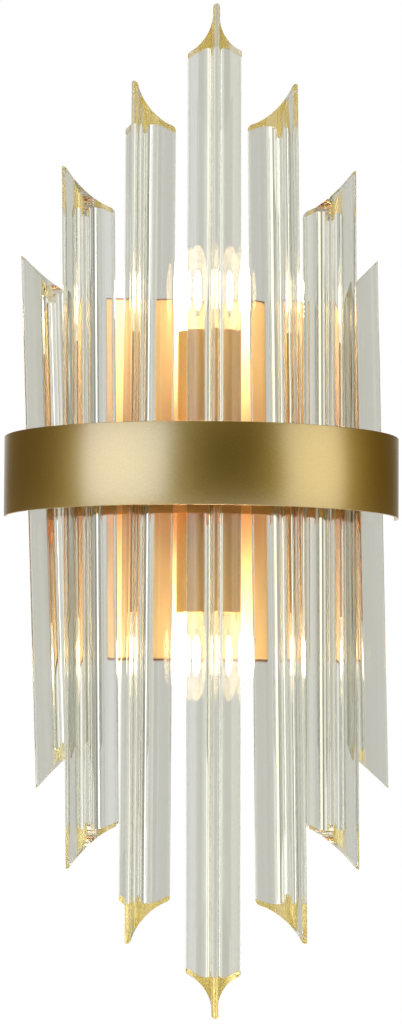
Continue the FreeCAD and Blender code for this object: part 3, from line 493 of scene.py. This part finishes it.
def clear_globe():
    """Blown lamp glass: thin and clear, seen by its rim and its shine, with a slight bloom."""
    material, tree, shader, out = surface("blown_lamp_glass", {
        "Base Color": linear("FFFBF2"), "Roughness": 0.12})
    rim = add(tree, "ShaderNodeLayerWeight", {"Blend": 0.25})
    seen = add(tree, "ShaderNodeMapRange", {
        "Value": rim.outputs["Facing"], "To Min": 0.08, "To Max": 0.4})
    clear = add(tree, "ShaderNodeBsdfTransparent")
    both = add(tree, "ShaderNodeMixShader", {
        0: seen.outputs[0], 1: clear.outputs[0], 2: shader.outputs[0]})
    tree.links.new(both.outputs[0], out.inputs["Surface"])
    return material


def lit_quartz():
    """The burner with the lamp on: an almost white, even glow."""
    return surface("lit_quartz_burner", {
        "Base Color": linear("FFF6E8"), "Roughness": 0.2, "Emission Color": linear("FFEBCB"),
        "Emission Strength": 205.0})[0]


def nickel():
    """Nickel-plated brass of the lamp's screw base: pale and bright."""
    return grained("nickel_plated_base", {"Metallic": 1.0, "Roughness": 0.24},
                   size=0.6 * MM, depth=0.002 * MM, colours=("C8CACA", "D8D9D6"))


def vitrite():
    """Black glass between a lamp's shell and its contact: dark and glossy."""
    return grained("vitrite_insulator", {"Roughness": 0.18},
                   size=0.8 * MM, depth=0.003 * MM, colours=("141214", "221E20"))


def moulded(name, colours, roughness):
    """Moulded plastic: even colour under a fine spark-eroded texture."""
    return grained(name, {"Roughness": roughness}, size=0.5 * MM, depth=0.01 * MM,
                   colours=colours)


FINISHES = {
    "satin_gold": gold_lacquer(),
    "gold_paint": gold_paint("gold_sprayed_steel", ("E2B676", "EAC284")),
    "zinc_steel": zinc(),
    "raw_brass": brass(),
    "crystal": crystal_glass(),
    "lamp_glass": clear_globe(),
    "lamp_base": nickel(),
    "insulator": vitrite(),
    "white_moulding": moulded("white_phenolic_moulding", ("DEDCD4", "E8E6DE"), 0.38),
    "lead_brown": moulded("brown_silicone_sleeve", ("4A2A18", "573321"), 0.45),
    "lead_blue": moulded("blue_silicone_sleeve", ("1E4E92", "2A5CA4"), 0.45),
    "lead_green": moulded("green_silicone_sleeve", ("3C7A2E", "6E9A34"), 0.45),
}
LIT = lit_quartz()

# the sprayed pieces nearest to the lamps: each a lighter or more orange copy of the one gold
# paint, with painted light in its own measure for the light that falls on it
PAINTED_LIGHT_FINISHES = {
    "back_plate": painted_shade_edge(gold_paint("gold_paint_painted_light_plate", ("F4CC90", "F9D8A2")),
                               plate_high.z, plate_low.y),
    "lamp_tube": gold_paint("gold_paint_painted_light_tube", ("F4B866", "F9C67A")),
    "inner_ring": gold_paint("gold_paint_painted_light_ring", ("EC9C4C", "F2AC5C")),
}


def dress(name, node):
    """Gives a CAD node its own copy of the gold paint with painted light, or else the finish
    that its slot names.
    """
    for slot in node.material_slots:
        slot.material = PAINTED_LIGHT_FINISHES.get(name) or FINISHES[slot.material.name.split(".")[0]]


# ---- studio

# the room's brightness by compass: 0 is the camera's side, 90 the right and 180 behind the
# sconce; what lies behind it is as white for metal and for crystal as it is for the camera
ROOM_FOR_METAL = [(degrees, linear(colour)) for degrees, colour in (
    (-180, "FFFFFF"),
    (180, "FFFFFF"),
    (-172, "FFFFFF"),
    (-158, "847454"),
    (-136, "64502E"),
    (-60, "6A4C20"),
    (0, "140A02"),
    (40, "2A1A04"),
    (60, "6E4E1E"),
    (120, "5A4016"),
    (140, "64502E"),
    (155, "968C78"),
    (166, "FFFFFF"),
)]
ROOM_FOR_CRYSTAL = [(degrees, (level, level, level, 1)) for degrees, level in (
    (-180, 1.0),
    (180, 1.0),
    (-156, 0.95),
    (-148, 1.0),
    (-140, 1.6),
    (-130, 1.2),
    (-116, 0.5),
    (-109, 1.0),
    (-93, 0.35),
    (-84, 0.9),
    (-68, 1.6),
    (-59, 0.3),
    (-50, 1.4),
    (-30, 1.25),
    (-12, 1.6),
    (8, 1.25),
    (28, 1.6),
    (45, 1.6),
    (58, 0.5),
    (70, 0.5),
    (79, 0.12),
    (87, 0.3),
    (98, 0.65),
    (113, 1.6),
    (121, 1.2),
    (128, 2.3),
    (137, 1.2),
    (145, 1.1),
    (156, 0.97),
)]

# each softbox: degrees from straight ahead, then its rise above the sconce, distance, width
# and height in metres, its power in watts and its colour
SOFTBOXES = {
    "left_softbox": (-49.5, 0.2, 1.6, 1.6, 1.4, 15.9, "EAF3FF"),
    "right_softbox": (63, 0.2, 1.6, 1.2, 1.4, 9.4, "FFFDE2"),
    "overhead_softbox": (-8, 1.9, 1.1, 1.2, 1.2, 10, "FFFFFF"),
}

FLOOR_LEVEL = -1.4
FLOOR_HALF_SIDE = 4
FLOOR_OWN_WHITE = 0.85

# the photograph's viewpoint: metres from the arc's centre, degrees, and a long lens in mm
VIEW_DISTANCE = 2.07
VIEW_AROUND = -4.94
VIEW_RISE = -4.54
VIEW_ROLL = 0.35
VIEW_LENS = 143.5
VIEW_SENSOR = 36
VIEW_SHIFT = (-0.0003, -0.0324)
VIEW_NEAREST = 0.05

# light is turned back many times in the slanted ends before it leaves a rod
MOST_BOUNCES = 200
MOST_GLASS_BOUNCES = 150


def studio_world():
    """White behind everything; metal sees a room with darker walls, crystal a lighter one."""
    world = bpy.data.worlds.new("studio")
    bpy.context.scene.world = world
    world.use_nodes = True
    tree = world.node_tree
    tree.nodes.clear()
    path = add(tree, "ShaderNodeLightPath")
    way = add(tree, "ShaderNodeTexCoord")
    axes = add(tree, "ShaderNodeSeparateXYZ", {"Vector": way.outputs["Generated"]})
    front = add(tree, "ShaderNodeMath", {0: axes.outputs["Y"], 1: -1.0}, operation="MULTIPLY")
    around = add(tree, "ShaderNodeMath", {0: axes.outputs["X"], 1: front.outputs[0]},
                 operation="ARCTAN2")
    turn = add(tree, "ShaderNodeMapRange", {
        "Value": around.outputs[0], "From Min": -math.pi, "From Max": math.pi})
    rooms = []
    for walls in (ROOM_FOR_METAL, ROOM_FOR_CRYSTAL):
        seen = add(tree, "ShaderNodeValToRGB", {"Fac": turn.outputs[0]},
                   [(0.5 + degrees / 360, colour) for degrees, colour in walls])
        lit = add(tree, "ShaderNodeBackground", {"Color": seen.outputs["Color"]})
        rooms.append(lit.outputs[0])
    white = add(tree, "ShaderNodeBackground", {"Color": (1, 1, 1, 1)})
    room = add(tree, "ShaderNodeMixShader", {
        0: path.outputs["Is Transmission Ray"], 1: rooms[0], 2: rooms[1]})
    both = add(tree, "ShaderNodeMixShader", {
        0: path.outputs["Is Camera Ray"], 1: room.outputs[0], 2: white.outputs[0]})
    add(tree, "ShaderNodeOutputWorld", {"Surface": both.outputs[0]})


def softbox(name):
    """A soft lamp in the room, turned to the sconce and not seen itself."""
    around, rise, distance, width, height, power, colour = SOFTBOXES[name]
    data = bpy.data.lights.new(name, "AREA")
    data.shape = "RECTANGLE"
    data.size = width
    data.size_y = height
    data.energy = power
    data.color = linear(colour)[:3]
    lamp = bpy.data.objects.new(name, data)
    angle = math.radians(around)
    spot = Vector((distance * math.sin(angle), -distance * math.cos(angle), rise))
    lamp.location = ARC_CENTRE + spot
    lamp.rotation_euler = (-spot).to_track_quat("-Z", "Y").to_euler()
    lamp.visible_camera = False
    bpy.context.scene.collection.objects.link(lamp)


def floor():
    """A pale floor well below, as in a room where the sconce hangs at head height."""
    bm = bmesh.new()
    bmesh.ops.create_grid(bm, x_segments=1, y_segments=1, size=FLOOR_HALF_SIDE,
                          matrix=Matrix.Translation((0, 0, FLOOR_LEVEL)))
    material, tree, shader, out = surface("pale_floor_paint", {
        "Base Color": linear("F4F3F0"), "Roughness": 0.7})
    path = add(tree, "ShaderNodeLightPath")
    seen = add(tree, "ShaderNodeMath", {
        0: path.outputs["Is Camera Ray"], 1: path.outputs["Is Glossy Ray"]}, operation="MAXIMUM")
    seen = add(tree, "ShaderNodeMath", {
        0: seen.outputs[0], 1: path.outputs["Is Transmission Ray"]}, operation="MAXIMUM")
    share = add(tree, "ShaderNodeMath", {0: seen.outputs[0], 1: FLOOR_OWN_WHITE},
                operation="MULTIPLY")
    white = add(tree, "ShaderNodeEmission", {"Color": (1, 1, 1, 1)})
    both = add(tree, "ShaderNodeMixShader", {
        0: share.outputs[0], 1: shader.outputs[0], 2: white.outputs[0]})
    tree.links.new(both.outputs[0], out.inputs["Surface"])
    plane = as_object("floor", bm)
    plane.data.materials.append(material)


def camera():
    """The photograph's viewpoint: a little to the left, a little below, long lens."""
    around, rise = math.radians(VIEW_AROUND), math.radians(VIEW_RISE)
    back = Vector((math.sin(around) * math.cos(rise), -math.cos(around) * math.cos(rise),
                   math.sin(rise)))
    data = bpy.data.cameras.new("camera")
    data.sensor_width = VIEW_SENSOR
    data.lens = VIEW_LENS
    data.shift_x, data.shift_y = VIEW_SHIFT
    data.clip_start = VIEW_NEAREST
    viewer = bpy.data.objects.new("camera", data)
    upright = (-back).to_track_quat("-Z", "Y").to_matrix().to_4x4()
    viewer.matrix_world = (Matrix.Translation(ARC_CENTRE + back * VIEW_DISTANCE) @ upright
                           @ Matrix.Rotation(math.radians(VIEW_ROLL), 4, "Z"))
    bpy.context.scene.collection.objects.link(viewer)
    bpy.context.scene.camera = viewer


# ---- the scene

for name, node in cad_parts.items():
    dress(name, node)
for name in RODS:
    crystal_rod(name, FINISHES["crystal"])
outer_band(FINISHES["satin_gold"])
for place in ("upper", "lower"):
    lamp_globe(place, FINISHES["lamp_glass"])
    lamp_capsule(place, LIT)
    capsule_stem(place, FINISHES["zinc_steel"])

studio_world()
for name in SOFTBOXES:
    softbox(name)
floor()
camera()
bpy.context.scene.view_settings.view_transform = "Standard"
bpy.context.scene.cycles.max_bounces = MOST_BOUNCES
bpy.context.scene.cycles.glossy_bounces = MOST_GLASS_BOUNCES
bpy.context.scene.cycles.transmission_bounces = MOST_GLASS_BOUNCES
